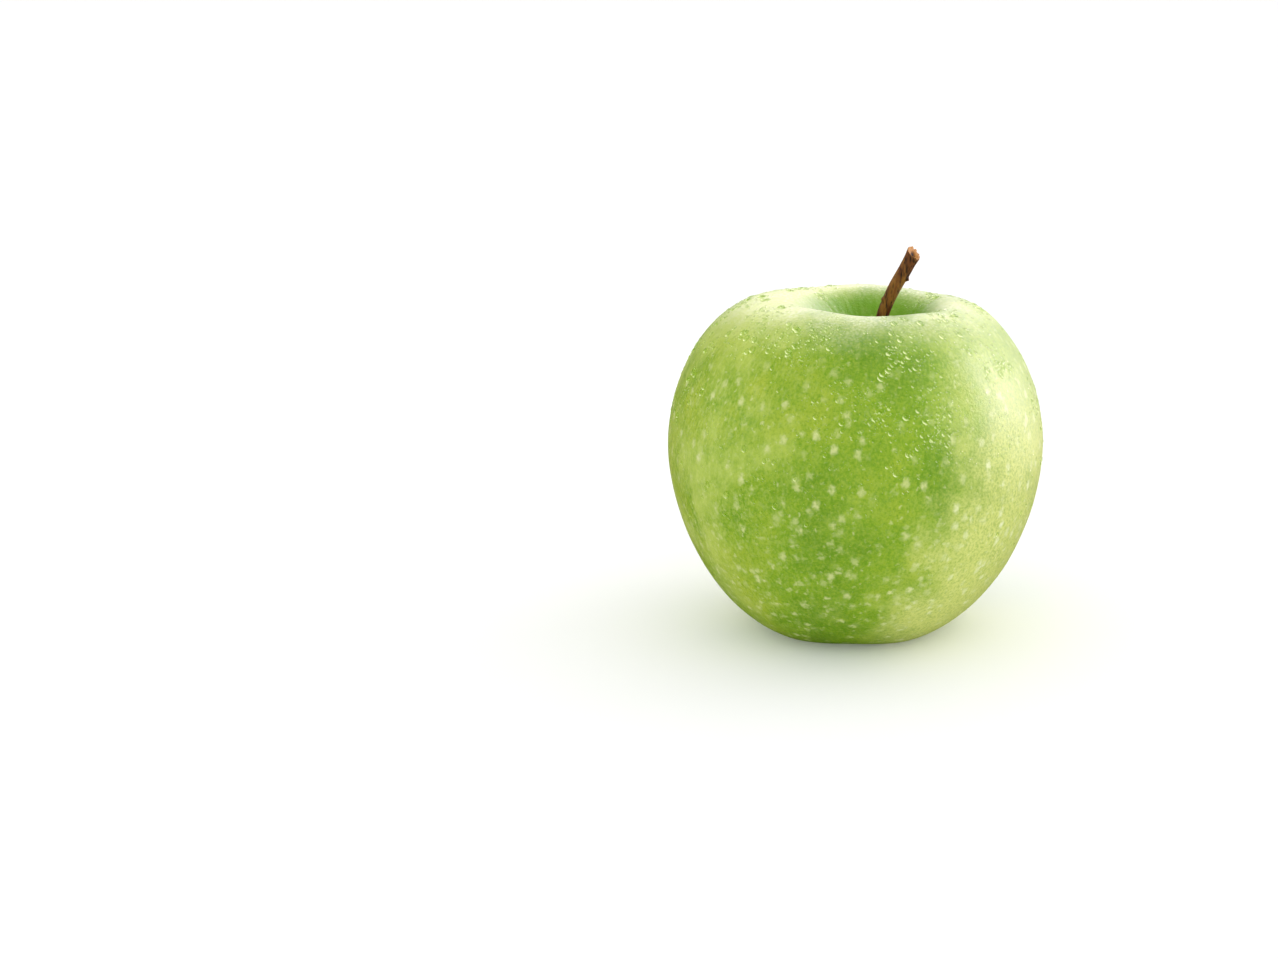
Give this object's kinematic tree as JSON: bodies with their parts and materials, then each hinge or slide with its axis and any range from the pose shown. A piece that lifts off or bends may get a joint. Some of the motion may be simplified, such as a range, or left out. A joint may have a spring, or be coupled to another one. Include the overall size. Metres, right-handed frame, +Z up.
{
  "type": "apple",
  "caption": "Round green eating apple standing on its blossom end, with a leaning woody stem in a deep stem cavity and a dried calyx in the basin underneath",
  "frame": {"origin": "on the surface that the apple stands on, under the middle of its outline", "axes": "+Z up, from the calyx end to the stem end; -Y is the front, and the stem leans towards +X"},
  "size_m": [0.0782, 0.0778, 0.0803],
  "materials": {
    "skin": "waxy satin apple skin, yellow-green with pale dots",
    "stem": "dry matt bark, ridged along its length",
    "sepal": "dried leaf, matt and slightly downy",
    "stamens": "dried threads, matt"
  },
  "bodies": {
    "root": {"fruit": "skin", "stem": "stem", "stamens": "stamens", "sepal_1": "sepal", "sepal_2": "sepal", "sepal_3": "sepal", "sepal_4": "sepal", "sepal_5": "sepal"}
  },
  "joints": []
}
